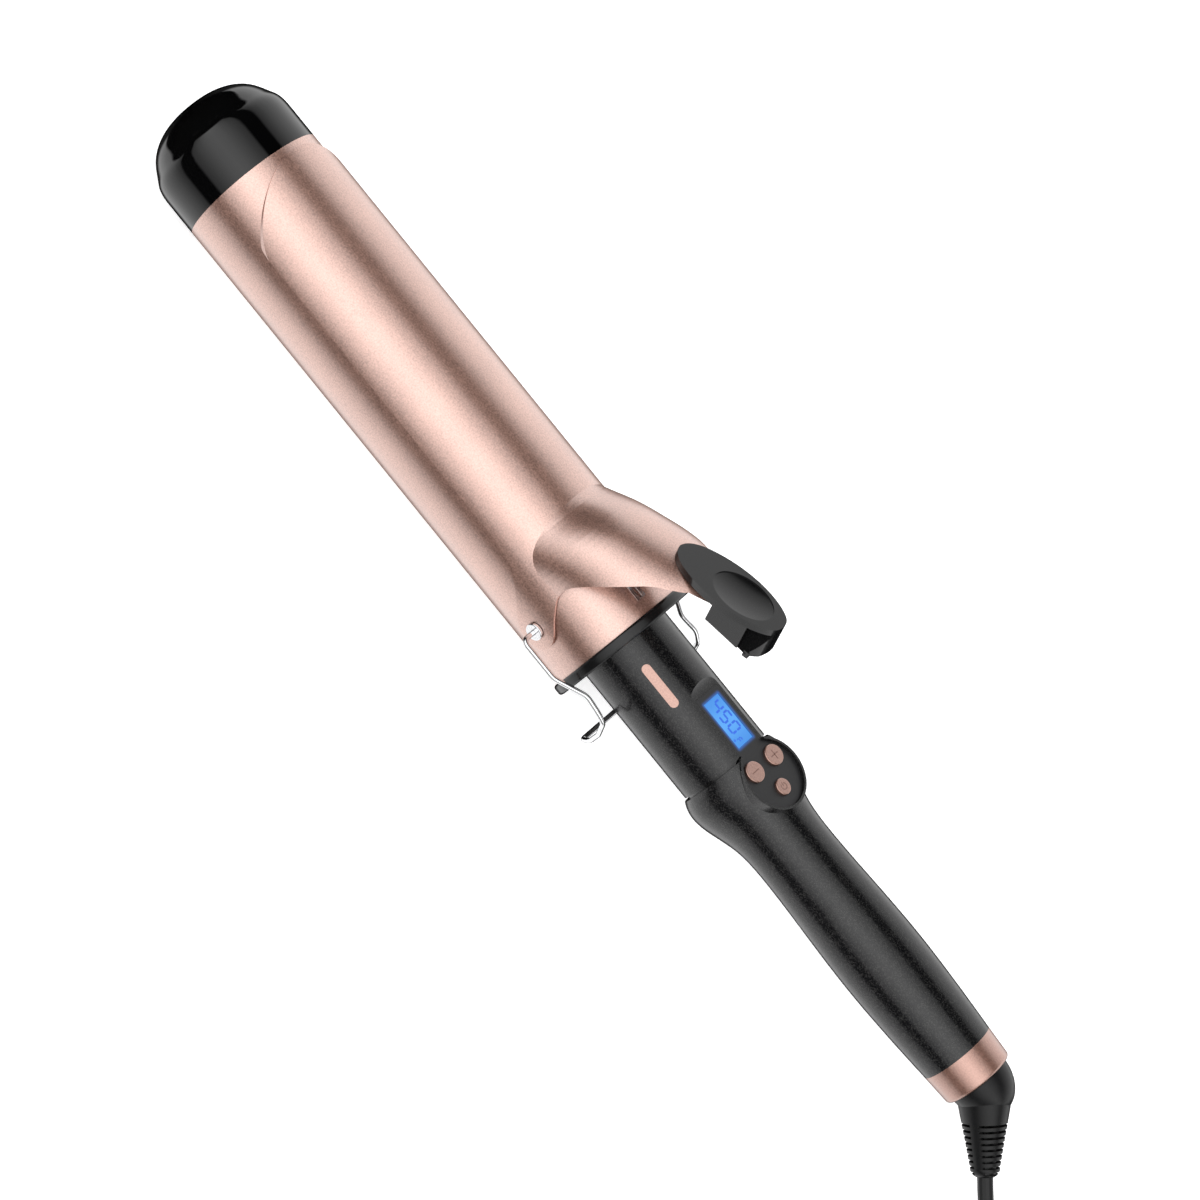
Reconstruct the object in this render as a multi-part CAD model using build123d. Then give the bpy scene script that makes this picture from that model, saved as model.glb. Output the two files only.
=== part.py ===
from build123d import *
import math
import os

# Curling iron, millimetres.  Modelling frame: x runs along the barrel from the nose to the cord,
# y across it and z up, with the barrel's axis at y = z = 0.  Every node is moved from there into
# the part's own frame: origin under the middle of the iron, on the surface that the collar rests on.

# ---- driving dimensions ----
BARREL_R = 25.4            # two-inch barrel
BARREL_WALL = 1.2
NOSE_END = 31.8            # joint between cool tip and barrel
BARREL_END = 219.9
COLLAR_R = 27.1
COLLAR_END = 223.7
PIVOT_X = 202.2            # the clamp and the stand turn about one cross axis
IRON_LENGTH = 405.7
RUN_GAP = 0.05             # radial running clearance of pins and buttons

CLAMP_GAP = 0.6
CLAMP_WALL = 0.8
CLAMP_IN_R = BARREL_R + CLAMP_GAP
CLAMP_OUT_R = CLAMP_IN_R + CLAMP_WALL
CLAMP_HALF_Y = 24.9        # half width of the clamp plate
EAR_R = 6.9

SLEEVE_R = 16.56
SLEEVE_WALL = 2.0
SEAM_X = 275.8             # front sleeve meets grip
FLAT_Z = 15.0              # one flat runs past the display and over the floor of the pod
POD_X = 285.8              # round control pod
POD_R = 12.0
POD_RIM_R = 12.8
POD_RIM_Z = 16.2
GRIP_END = 394.5
GRIP_WALL = 2.2
RING_R = 13.3

PRESS_SLOPE = 17.7         # the thumb pad's plane, in degrees
PRESS_TIP = (210.0, 48.6)

WIRE_R = 0.9
ARM_Y = 33.5
CORD_D = 5.3
FLOOR_Z = -COLLAR_R        # the surface the iron rests on

TO_PART = Location((-IRON_LENGTH / 2, 0, COLLAR_R))
PRESS_FRAME = Location((PRESS_TIP[0], 0, PRESS_TIP[1])) * Location((0, 0, 0), (0, -PRESS_SLOPE, 0))


def save(node, shape):
    """Write one node, moved into the part's frame."""
    placed = TO_PART * shape
    placed.label = node
    export_step(placed, f"parts/{node}.step")


def rod(radius, x0, x1, y=0.0, z=0.0):
    """Cylinder along x."""
    return Pos((x0 + x1) / 2, y, z) * Rot(0, 90, 0) * Cylinder(radius, x1 - x0)


def tube(outer, inner, x0, x1):
    return rod(outer, x0, x1) - rod(inner, x0 - 1, x1 + 1)


def cross_pin(radius, y0, y1, x=PIVOT_X, z=0.0):
    """Cylinder along y."""
    return Pos(x, (y0 + y1) / 2, z) * Rot(90, 0, 0) * Cylinder(radius, abs(y1 - y0))


def post(radius, x, y, z0, z1):
    """Cylinder along z."""
    return Pos(x, y, (z0 + z1) / 2) * Cylinder(radius, z1 - z0)


def block(x0, x1, y0, y1, z0, z1):
    return Pos((x0 + x1) / 2, (y0 + y1) / 2, (z0 + z1) / 2) * Box(x1 - x0, y1 - y0, z1 - z0)


def outline(*lines):
    """Face inside a closed chain of lines."""
    return make_face([edge for line in lines for edge in line.edges()])


def turned(*lines):
    """Solid of revolution about x from lines drawn as (x, radius)."""
    return revolve(outline(*lines), Axis.X)


def both_sides(shape):
    return shape + mirror(shape, Plane.XZ)


# ---- barrel end ----
def cool_tip():
    spigot_r = BARREL_R - BARREL_WALL - 0.1
    nose = Spline((0, 0), (1.6, 12.8), (6.8, 20.3), (12, 23.5), (20, BARREL_R), tangents=((0, 1), (1, 0)))
    rest = Polyline(
        (20, BARREL_R), (NOSE_END, BARREL_R), (NOSE_END, spigot_r), (39, spigot_r), (39, 0), (0, 0)
    )
    body = turned(nose, rest)
    hollow = turned(Polyline((5, 0), (5, 12), (12, 20), (20, 22), (40, 22), (40, 0), (5, 0)))
    return body - hollow


def tip_insulator():
    return tube(BARREL_R - BARREL_WALL - 0.2, 2.5, 41, 43)


def barrel_tube():
    body = tube(BARREL_R, BARREL_R - BARREL_WALL, NOSE_END, BARREL_END)
    stud_hole = cross_pin(STUD_SHANK_R, -30, 30)
    rivet_holes = [post(RIVET_R, x, 0, 20, 30) for x in RIVET_XS]
    return body - stud_hole - rivet_holes


def heater_shoe(side):
    """Extruded aluminium half shoe: an arc that presses on the tube, joined to the heater's pad."""
    outer, wall, x0, x1 = 23.9, 1.6, 50, 172
    arc = Circle(outer) - Circle(outer - wall)
    keep = Pos(0, 13.2) * Rectangle(60, 20.4)
    pad = Pos(0, 3.3) * Rectangle(16, 3)
    webs = Pos(0, 13.5) * (Pos(6, 0) * Rectangle(1.6, 18) + Pos(-6, 0) * Rectangle(1.6, 18))
    shape = (arc & keep) + pad + webs
    body = Pos(x0) * Plane.YZ.location * extrude(shape, x1 - x0)
    return body if side > 0 else mirror(body, Plane.XY)


def ceramic_heater():
    plate = block(55, 165, -7, 7, -1.25, 1.25)
    return fillet(plate.edges().filter_by(Axis.Z), 1.5)


def temperature_sensor():
    return rod(1.3, 173.5, 179, 4, 0) + rod(0.45, 179, 204, 4, 0)


def thermal_fuse():
    return rod(2.0, 176, 187, -5, 0) + rod(0.5, 187, 204, -5, 0)


def base_insulator():
    plug = rod(BARREL_R - BARREL_WALL - 0.1, 210.5, BARREL_END)
    return plug - rod(7.5, 200, 225)


def collar():
    ring = tube(COLLAR_R, 9.5, BARREL_END, COLLAR_END)
    rims = ring.edges().filter_by(GeomType.CIRCLE).filter_by(lambda e: e.radius > COLLAR_R - 1)
    return fillet(rims, 1.0)


# ---- pivots ----
STUD_SHANK_R = 2.0
STUD_HEAD_R = 3.05
STUD_FACE_Y = 28.0


def pivot_studs():
    shank = cross_pin(STUD_SHANK_R, 22.4, CLAMP_OUT_R + 0.15)
    head = cross_pin(STUD_HEAD_R, CLAMP_OUT_R + 0.15, STUD_FACE_Y)
    head = fillet(head.faces().sort_by(Axis.Y)[-1].edges(), 0.4)
    nut = extrude(Plane((PIVOT_X, 23.7, 0), z_dir=(0, -1, 0)) * RegularPolygon(4.0, 6), 1.4)
    stud = shank + head + nut
    return both_sides(stud - cross_pin(WIRE_R + RUN_GAP, 20, 30))


# ---- clamp ----
CLAMP_EDGE_Z = 10.2        # side edges of the plate
LEVER_WALL = 1.2
LEVER_HALF_ANGLE = math.radians(97)
# Cross sections of the lever: station, radius of the arch, height of its crown.
LEVER_ARCHES = [
    (170.0, 23.0, 22.6),
    (176.5, 23.0, 26.6),
    (180.0, 23.0, 28.6),
    (184.0, 23.0, 31.6),
    (189.0, 23.0, 35.4),
    (194.0, 22.9, 38.6),
    (198.5, 23.1, 40.9),
    (203.0, 23.7, 43.0),
    (208.0, 24.0, 45.2),
    (213.0, 23.6, 47.1),
    (217.0, 22.4, 48.4),
    (221.0, 19.6, 49.2),
    (230.0, 12.0, 49.95),
]
NOTCH = (198.2, 16.2)      # where the ear's edge turns up into the lever's


def smooth_arches(per_span):
    """The arches with others between them, on a smooth line through the given ones."""
    rows = LEVER_ARCHES
    arches = []
    for index in range(len(rows) - 1):
        before, here, after, later = (rows[max(0, min(len(rows) - 1, index + k))] for k in (-1, 0, 1, 2))
        for step in range(per_span):
            t = step / per_span
            weights = (
                (-t + 2 * t * t - t**3) / 2,
                (2 - 5 * t * t + 3 * t**3) / 2,
                (t + 4 * t * t - 3 * t**3) / 2,
                (t**3 - t * t) / 2,
            )
            points = zip(before, here, after, later)
            arches.append(tuple(sum(w * value for w, value in zip(weights, values)) for values in points))
    return arches + [rows[-1]]


def arch_face(station, radius, crown):
    """Horseshoe section of the lever, its wall measured square to the arch."""
    def point(size, angle):
        return (size * math.sin(angle), crown - radius + size * math.cos(angle))

    inside, wide = radius - LEVER_WALL, LEVER_HALF_ANGLE
    outer = ThreePointArc(point(radius, -wide), point(radius, 0), point(radius, wide))
    inner = ThreePointArc(point(inside, wide), point(inside, 0), point(inside, -wide))
    right = Line(point(radius, wide), point(inside, wide))
    left = Line(point(inside, -wide), point(radius, -wide))
    return Plane((station, 0, 0), x_dir=(0, 1, 0), z_dir=(1, 0, 0)) * outline(outer, right, inner, left)


def lever():
    """Arched sheet that rises and narrows towards the thumb, cut back to a sloping edge."""
    arch = loft([arch_face(*row) for row in smooth_arches(2)], ruled=True)
    end = (230.0, 48.5)
    edge = Spline(
        NOTCH, (198.4, 19.9), (199.7, 23.3), (204.7, 31.1), (211.2, 39.1), (217.0, 44.0),
        (222.5, 46.7), end,
        tangents=((0, 1), (1, 0.2)),
    )
    around = Polyline(end, (end[0], 60.0), (165.0, 60.0), (165.0, 13.0), (NOTCH[0], 13.0), NOTCH)
    kept = extrude(Plane.XZ * outline(edge, around), 40, both=True)
    tongue = PRESS_FRAME * block(16.0, 26.0, -4.5, 4.5, TONGUE_Z, TONGUE_Z + 1.4)
    return (arch & kept) + tongue


def clamp_plate():
    shell = tube(CLAMP_OUT_R, CLAMP_IN_R, 30, 212)
    # Seen from above the front is a half ellipse, as wide as the plate is at its side edges.
    front_x, half_length = 34.3, 26.0
    plan = Pos(front_x + half_length, 0) * Ellipse(half_length, CLAMP_HALF_Y)
    plan += Pos(front_x + half_length + 50, 0) * Rectangle(100, 2 * CLAMP_HALF_Y)
    front = shell & extrude(plan, 40) & block(0, 135, -40, 40, CLAMP_EDGE_Z, 40)
    # Seen from the side the edge flares down into a round ear at the pivot and rises to a notch.
    ear = [
        Line((134, CLAMP_EDGE_Z), (168, CLAMP_EDGE_Z)),
        Spline((168, CLAMP_EDGE_Z), (189.7, 3.2), (197.3, -4.9), tangents=((1, 0), (0.71, -0.71))),
        ThreePointArc((197.3, -4.9), (PIVOT_X, -EAR_R), (209.1, 0.0)),
        Spline((209.1, 0.0), (204.7, 7.1), (200.5, 11.4), NOTCH, tangents=((0, 1), (0, 1))),
        Polyline(NOTCH, (186, 17.5), (183.0, 40), (134, 40), (134, CLAMP_EDGE_Z)),
    ]
    rear = shell & extrude(Plane.XZ * outline(*ear), 60, both=True)
    plate = front + rear + lever() - rod(CLAMP_IN_R, 30, 215)
    plate -= cross_pin(STUD_SHANK_R + RUN_GAP, -40, 40)
    return plate - post(THUMB_SCREW_R, THUMB_SCREW_X, 0, 40, 60)


# ---- thumb press ----
THUMB_SCREW_X = 224.0
THUMB_SCREW_R = 1.3
LEAF_T = 2.6
LEAF_LENGTH = 42.0
BASE_X0, BASE_X1, BASE_HALF_Y, BASE_BOTTOM = 20.2, 33.6, 7.0, -14.0
SKIRT_HALF_TOP, SKIRT_HALF_BOTTOM = 3.2, 6.6
TONGUE_Z = -5.7
DISH_X, DISH_HALF_LENGTH, DISH_HALF_Y = 25.9, 11.2, 7.7
DISH_RIM, DISH_DEPTH = 0.4, 0.9


def leaf_face():
    """Outline of the thumb pad in its own plane, tip at the origin."""
    side = Spline(
        (0, 0), (0.7, 2.3), (2.6, 4.5), (9, 7.6), (20, 9.4), (30, 8.6), (38, 5.8), (40.9, 3.6), (LEAF_LENGTH, 0.8)
    )
    end = Line((LEAF_LENGTH, 0.8), (LEAF_LENGTH, -0.8))
    return outline(side, end, mirror(side, Plane.XZ))


def thumb_dish():
    """Shallow oval bowl with an upright rim, sunk in the pad."""
    rim = extrude(Pos(DISH_X, 0) * Ellipse(DISH_HALF_LENGTH, DISH_HALF_Y), -DISH_RIM)
    radius = (DISH_HALF_LENGTH**2 + DISH_DEPTH**2) / (2 * DISH_DEPTH)
    bowl = scale(Sphere(radius), (1, DISH_HALF_Y / DISH_HALF_LENGTH, 1))
    bowl = Pos(DISH_X, 0, radius - DISH_RIM - DISH_DEPTH) * bowl
    return rim + (bowl & block(DISH_X - 15, DISH_X + 15, -12, 12, -3, -DISH_RIM))


def thumb_press():
    """Leaf-shaped pad with an oval dish for the thumb and a boss for the screw under it."""
    pad = extrude(leaf_face(), -LEAF_T)
    boss = post(2.4, THUMB_SCREW_X, 0, 49.9, 52.0)
    return PRESS_FRAME * (pad - thumb_dish()) + boss - post(THUMB_SCREW_R, THUMB_SCREW_X, 0, 49.0, 51.4)


def thumb_skirt():
    """Tail under the pad's end; its sides lean out on their way down."""
    section = Polyline(
        (-SKIRT_HALF_TOP, -LEAF_T), (SKIRT_HALF_TOP, -LEAF_T), (SKIRT_HALF_BOTTOM, BASE_BOTTOM),
        (-SKIRT_HALF_BOTTOM, BASE_BOTTOM), close=True,
    )
    tail = Pos(BASE_X1 - 1) * Plane.YZ.location * extrude(outline(section), LEAF_LENGTH)
    return tail & extrude(leaf_face(), BASE_BOTTOM)


def thumb_base():
    """Hollow block under the pad that takes the lever's tongue, with a skirt behind it."""
    box = block(BASE_X0, BASE_X1, -BASE_HALF_Y, BASE_HALF_Y, BASE_BOTTOM, -LEAF_T)
    box -= block(BASE_X0 + 1.6, BASE_X1 - 1.6, -BASE_HALF_Y + 1.6, BASE_HALF_Y - 1.6, -8.6, -3.9)
    box -= block(BASE_X0 - 1, BASE_X0 + 2, -4.55, 4.55, TONGUE_Z - 0.05, TONGUE_Z + 1.45)
    below = Polyline(
        (15, -11.2), (34.3, -13.2), (38.2, -13.6), (40.6, -12.9), (43, -10.2), (43, -20), (15, -20), close=True
    )
    shape = box + thumb_skirt() - extrude(Plane.XZ * outline(below), 15, both=True)
    nub = block(36.0, 38.0, -6.3, -4.5, -14.8, -12.4)
    return PRESS_FRAME * (shape + nub)


def thumb_screw():
    shank = post(THUMB_SCREW_R - 0.1, THUMB_SCREW_X, 0, 46.6, 51.2)
    head = post(2.6, THUMB_SCREW_X, 0, 46.3, 47.9)
    slot = block(THUMB_SCREW_X - 3, THUMB_SCREW_X + 3, -0.35, 0.35, 46.0, 46.9)
    return shank + head - slot


# ---- clamp spring ----
SPRING_Y = 7.75
SPRING_T = 0.5
RIVET_R = 1.2
RIVET_XS = (207.0,)


def clamp_spring():
    """Leaf spring: a foot riveted to the barrel, a bend at the front and a leg under the lever."""
    foot_z = BARREL_R + 0.35
    path = FilletPolyline((215.2, 0, foot_z), (193.5, 0, foot_z), (194.5, 0, 30.5), (211.0, 0, 43.2), radius=1.6)
    strip = Plane((215.2, 0, foot_z), x_dir=(0, 1, 0), z_dir=(-1, 0, 0)) * Rectangle(2 * SPRING_Y, SPRING_T)
    leaf = sweep(strip, path=path)
    leaf -= block(210, 217, -3.6, 3.6, 24, 27)
    for y in (-5.7, 5.7):
        leaf -= block(206.5, 214.8, y - 0.75, y + 0.75, 24, 27)
    return leaf - post(RIVET_R, RIVET_XS[0], 0, 20, 30)


def spring_rivets():
    x = RIVET_XS[0]
    shank = post(RIVET_R, x, 0, 23.6, 26.2)
    return shank + post(2.3, x, 0, 26.0, 26.8) + post(2.3, x, 0, 23.0, 23.8)


# ---- stand ----
def stand_wire():
    """One bent wire: pin, arm, kink, foot and the crossbar behind the handle."""
    arm = [
        (PIVOT_X, 21.5, 0),
        (PIVOT_X, ARM_Y, 0),
        (217.5, ARM_Y, 0),
        (228.8, 27.2, 0),
        (235.4, 28.1, 0),
        (238.8, 27.4, -2.0),
        (240.8, 26.4, -8.5),
        (240.8, 25.0, -15.0),
        (239.0, 24.0, -19.0),
    ]
    other = [(x, -y, z) for x, y, z in reversed(arm)]
    radii = [2.4, 5, 5, 5, 3, 3, 4, 2.0]
    path = FilletPolyline(*arm, *other, radius=radii + radii[::-1])
    section = Plane((PIVOT_X, arm[0][1], 0), z_dir=(0, 1, 0)) * Circle(WIRE_R)
    return sweep(section, path=path)


# ---- handle shells ----
WINDOW_X0, WINDOW_X1, WINDOW_HALF_Y = 254.7, 272.7, 4.15
LENS_TOP = 14.75
LENS_T = 1.2


def sleeve_space():
    """Room inside the front sleeve, lower under the display than elsewhere."""
    room = rod(SLEEVE_R - SLEEVE_WALL, COLLAR_END - 1, SEAM_X + 1)
    return room - block(250, SEAM_X + 2, -20, 20, ROOF_Z, 20)


def tongue_space(grow):
    """Where the control panel's tongue lies, from the ramp to the pod."""
    return block(PANEL_X0 - grow, POD_X, -PANEL_HALF_Y - grow, PANEL_HALF_Y + grow, PANEL_BOTTOM, 20)


def front_sleeve():
    body = rod(SLEEVE_R, COLLAR_END, SEAM_X)
    start, foot = (247.7, SLEEVE_R + 0.25), (251.6, FLAT_Z)
    slope = ThreePointArc(start, (249.6, 15.45), foot)
    flat = Polyline(foot, (SEAM_X + 1, FLAT_Z), (SEAM_X + 1, 20), (start[0], 20), start)
    body -= extrude(Plane.XZ * outline(slope, flat), 20, both=True)
    body -= sleeve_space()
    body -= tongue_space(0.05)
    body -= tube(20, SLEEVE_R - 0.9, SEAM_X - 0.9, SEAM_X + 1)
    body -= block(WINDOW_X0, WINDOW_X1, -WINDOW_HALF_Y, WINDOW_HALF_Y, 10, 20)
    return body - side_inlay() - post(POD_RIM_R + 0.1, POD_X, 0, 11.0, 20)


def grip_profile(inset):
    """Side line of the grip: full behind the seam, waisted, then swelling to the palm."""
    points = [
        (SEAM_X, 17.4), (281.6, 18.9), (290.5, 17.1), (298.5, 14.7), (311.5, 13.6),
        (331.0, 14.1), (356.0, 14.8), (376.0, 14.3), (GRIP_END, RING_R),
    ]
    line = Spline(*[(x, r - inset) for x, r in points])
    end = Polyline((GRIP_END, RING_R - inset), (GRIP_END, 0), (SEAM_X, 0), (SEAM_X, 17.4 - inset))
    return turned(line, end)


def grip():
    body = grip_profile(0)
    rim = post(POD_RIM_R, POD_X, 0, 12.6, POD_RIM_Z)
    body += rim - block(POD_X - 20, POD_X - 6, -6.4, 6.4, FLAT_Z, 20)
    body -= post(POD_R, POD_X, 0, PANEL_BOTTOM, 30)
    body -= tongue_space(0.05)
    room = grip_profile(GRIP_WALL) - post(POD_RIM_R, POD_X, 0, PANEL_BOTTOM - 1.6, 30)
    body -= room
    body -= rod(SLEEVE_R - SLEEVE_WALL - 1.2, SEAM_X - 3, SEAM_X + 3)
    return body - post(11.25, POD_X, 0, 8, PANEL_BOTTOM + 0.1)


def handle_core():
    """Half-round chassis that carries the board and ties sleeve, grip and end ring together."""
    shell = tube(10.8, 9.4, COLLAR_END + 1.5, 392)
    shell = shell & block(220, 395, -15, 15, -15, -0.5)
    places = [(x, y) for x in (257, 290) for y in (-5.5, 5.5)]
    feet = [block(x - 1.5, x + 1.5, y - 1.5, y + 1.5, -7.5, BOARD_Z) for x, y in places]
    boss = post(1.9, SCREW_X, 0, -9.9, BOARD_Z) - post(0.8, SCREW_X, 0, 2.0, 20)
    return shell + feet + boss


# ---- controls ----
PANEL_BOTTOM = 14.0
BOARD_Z = 7.6
BOARD_T = 1.2
SWITCH_TOP = 11.4
BUTTON_TOP = 16.0
SCREW_X = 295.3
PANEL_X0 = 252.1
PANEL_HALF_Y = 5.9
ROOF_Z = 12.8              # inner face of the sleeve under the panel
PRESS_TRAVEL = 0.6
BUTTONS = {
    "minus_button": (281.5, -5.6, 3.68),
    "plus_button": (281.5, 5.6, 3.68),
    "power_button": (291.1, 0.0, 2.9),
}


def control_panel():
    """Keyhole-shaped plate: round in the pod, with a tongue that frames the display."""
    plate = post(POD_R - 0.1, POD_X, 0, PANEL_BOTTOM, FLAT_Z)
    plate += tongue_space(0) - block(240, 300, -20, 20, FLAT_Z, 30)
    plate -= block(WINDOW_X0, WINDOW_X1, -WINDOW_HALF_Y, WINDOW_HALF_Y, 10, 20)
    for x, y, radius in BUTTONS.values():
        plate -= post(radius + RUN_GAP + 0.03, x, y, 10, 20)
    return plate


def button(x, y, radius):
    cap = post(radius, x, y, 13.0, BUTTON_TOP)
    cap = fillet(cap.faces().sort_by(Axis.Z)[-1].edges(), 0.4)
    flange = post(radius + 0.3, x, y, 13.0, PANEL_BOTTOM - 0.1)
    stem = post(1.2, x, y, SWITCH_TOP + PRESS_TRAVEL + 0.15, 13.0)
    return cap + flange + stem


def control_board():
    board = block(252.5, 297.0, -7.5, 7.5, BOARD_Z, BOARD_Z + BOARD_T)
    return board - post(0.85, SCREW_X, 0, 0, 20)


def tact_switches():
    top = BOARD_Z + BOARD_T
    switches = []
    for x, y, _ in BUTTONS.values():
        body = block(x - 2.2, x + 2.2, y - 2.2, y + 2.2, top, SWITCH_TOP - 0.6)
        switches.append(body + post(1.4, x, y, SWITCH_TOP - 0.7, SWITCH_TOP))
    return switches


def board_screws():
    """Screw through the board into the boss of the core."""
    top = BOARD_Z + BOARD_T
    return post(1.6, SCREW_X, 0, top, top + 0.9) + post(0.8, SCREW_X, 0, 2.0, top)


def lcd_module():
    """Display body on the board, with its glass standing up into the window."""
    body = block(254.6, 272.6, -6.2, 6.2, BOARD_Z + BOARD_T + 0.1, ROOF_Z - 0.2)
    return body + block(254.8, 272.4, -4.1, 4.1, ROOF_Z - 0.3, LENS_TOP - LENS_T - 0.05)


def lcd_lens():
    inset = 0.1
    x0, x1, half = WINDOW_X0 + inset, WINDOW_X1 - inset, WINDOW_HALF_Y - inset
    return block(x0, x1, -half, half, LENS_TOP - LENS_T, LENS_TOP)


def heater_leads():
    return [rod(0.8, 205, 252, y, z) for y, z in ((-3, 2.5), (3, 2.5), (-1.5, -2.5), (1.5, -2.5))]


def mains_leads():
    return [rod(1.0, 299, 391, y, 3.0) for y in (-2.5, 2.5)]


# ---- handle end and swivel ----
NECK_R = 6.0
RING_END_X = IRON_LENGTH


def end_ring():
    line = Polyline((GRIP_END, 0), (GRIP_END, RING_R), (RING_END_X, 12.7), (RING_END_X, 0), (GRIP_END, 0))
    ring = turned(line)
    ring = fillet(ring.faces().sort_by(Axis.X)[-1].edges(), 1.2)
    ring -= rod(11.2, GRIP_END - 1, 403.4)
    return ring - rod(NECK_R + RUN_GAP, 400, 410)


def swivel_hub():
    """Turns with the cord: a neck through the end ring and a flange behind it."""
    hub = rod(10.9, 400.4, 403.3) + rod(NECK_R, 403.3, RING_END_X) + rod(4.6, 393.5, 400.4)
    return hub - rod(2.7, 390, RING_END_X + 1)


def slip_rings():
    return [tube(5.4, 4.62, x, x + 1.6) for x in (394.4, 397.6)]


def brush_contacts():
    """Two leaf contacts that bear on the slip rings."""
    return [
        block(x + 0.2, x + 1.4, -2.5, 2.5, 5.5, 6.1) + block(x + 0.2, x + 1.4, -2.5, -1.7, 6.1, 8.8)
        for x in (394.4, 397.6)
    ]


RELIEF_BEND = 38.4                     # degrees between the handle and the cord's exit
RELIEF_ROLL = (0.0, -0.737, -0.676)    # the way it leans, across the handle
KNUCKLE_X = 408.7
KNUCKLE_R = 10.75
RELIEF_X0 = RING_END_X + 0.3           # the elbow turns clear of the end ring
RELIEF_LENGTH = 29.4
SHOULDER_LENGTH = 13.6
SLOTS, SLOT_START, SLOT_PITCH, SLOT_W = 9, 12.2, 1.98, 0.85
SLOT_WEB = 3.1
SLOT_TURN = -56


def relief_plane():
    bend = math.radians(RELIEF_BEND)
    along = Vector(math.cos(bend), math.sin(bend) * RELIEF_ROLL[1], math.sin(bend) * RELIEF_ROLL[2])
    lean_dir = Vector(-math.sin(bend), math.cos(bend) * RELIEF_ROLL[1], math.cos(bend) * RELIEF_ROLL[2])
    return Plane((KNUCKLE_X, 0, 0), x_dir=lean_dir, z_dir=along)


def relief_taper():
    """Tapered sleeve down to the cord, slotted from two sides but for a core and a web."""
    flank = Spline((9.25, 0), (8.9, 4.0), (8.3, 7.7), (6.9, 15.2), (4.9, 26.4), tangents=((0, 1), (-0.18, 1)))
    nose = ThreePointArc((4.9, 26.4), (4.3, 28.4), (3.0, RELIEF_LENGTH))
    inside = Polyline((3.0, RELIEF_LENGTH), (0, RELIEF_LENGTH), (0, 0), (9.25, 0))
    taper = revolve(outline(Plane.XZ * flank, Plane.XZ * nose, Plane.XZ * inside), Axis.Z)
    kept = Cylinder(3.6, 90) + Rot(0, 0, SLOT_TURN) * Box(30, SLOT_WEB, 90)
    for index in range(SLOTS):
        taper -= Pos(0, 0, SLOT_START + index * SLOT_PITCH) * Cylinder(14, SLOT_W) - kept
    return taper


def strain_relief():
    """Rubber elbow on the swivel: a round shoulder, then the taper down to the cord."""
    shoulder = Pos(RING_END_X) * scale(Sphere(KNUCKLE_R), (SHOULDER_LENGTH / KNUCKLE_R, 1, 1))
    elbow = shoulder + relief_plane().location * (relief_taper() + Sphere(9.25))
    elbow &= block(RELIEF_X0, RELIEF_X0 + 60, -40, 40, -40, 40)
    return elbow + rod(NECK_R, RING_END_X, RELIEF_X0)


# ---- cord ----
RELIEF_TIP = Vector(KNUCKLE_X, 0, 0) + relief_plane().z_dir * RELIEF_LENGTH
COIL_TURNS_ACROSS = 4
COIL_LAYERS = 2
COIL_MEAN_R = 32.0
COIL_OUT_R = COIL_MEAN_R + COIL_TURNS_ACROSS * CORD_D / 2
COIL_IN_R = COIL_MEAN_R - COIL_TURNS_ACROSS * CORD_D / 2
LANE_OUT_R = COIL_OUT_R - CORD_D / 2
CORD_Z = FLOOR_Z + CORD_D / 2
ENTRY_ANGLE = 240.0
LEAD = [
    RELIEF_TIP,
    RELIEF_TIP + relief_plane().z_dir * 15,
    Vector(459.5, -28.3, -23.1),
    Vector(474.4, -38.5, CORD_Z),
    Vector(487.4, -46.0, CORD_Z),
]
ENTRY = math.radians(ENTRY_ANGLE)
COIL_X = LEAD[-1].X - LANE_OUT_R * math.cos(ENTRY)
COIL_Y = LEAD[-1].Y - LANE_OUT_R * math.sin(ENTRY)
TAIL = [
    Vector(COIL_X + 1.0, COIL_Y - COIL_OUT_R - 0.1, FLOOR_Z + 6.4),
    Vector(COIL_X + 17.5, COIL_Y - COIL_OUT_R - 2.6, FLOOR_Z + 3.9),
    Vector(COIL_X + 33.0, COIL_Y - COIL_OUT_R - 0.2, CORD_Z),
    Vector(COIL_X + 46.2, COIL_Y - COIL_OUT_R + 8.2, FLOOR_Z + 2.9),
    Vector(COIL_X + 53.9, COIL_Y - COIL_OUT_R + 21.8, FLOOR_Z + 5.6),
    Vector(COIL_X + 55.0, COIL_Y - COIL_OUT_R + 37.5, FLOOR_Z + 6.5),
]


def cord_tube(points, name):
    """Straight runs joined by tangent arcs, each as large as its two runs allow."""
    radii = []
    for before, corner, after in zip(points, points[1:], points[2:]):
        first, second = corner - before, after - corner
        half_turn = math.radians(first.get_angle(second)) / 2
        radii.append(0.45 * min(first.length, second.length) / math.tan(half_turn))
    path = FilletPolyline(*points, radius=radii)
    solid = sweep(Plane(points[0], z_dir=points[1] - points[0]) * Circle(CORD_D / 2), path=path)
    section = math.pi * CORD_D**2 / 4
    print(name, "arc radii", [round(r, 1) for r in radii], "length", round(path.length, 1))
    print(name, "volume over section times length", round(solid.volume / (section * path.length), 4))
    return solid


def coil_ring(inset):
    height = COIL_LAYERS * CORD_D
    width = COIL_OUT_R - COIL_IN_R
    face = Plane.XZ * Pos(COIL_MEAN_R, height / 2) * RectangleRounded(width - 2 * inset, height - 2 * inset, 2.0)
    return Pos(COIL_X, COIL_Y, FLOOR_Z) * revolve(face, Axis.Z)


TIE_HALF = 5.0
TIE_T = 0.9


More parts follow.
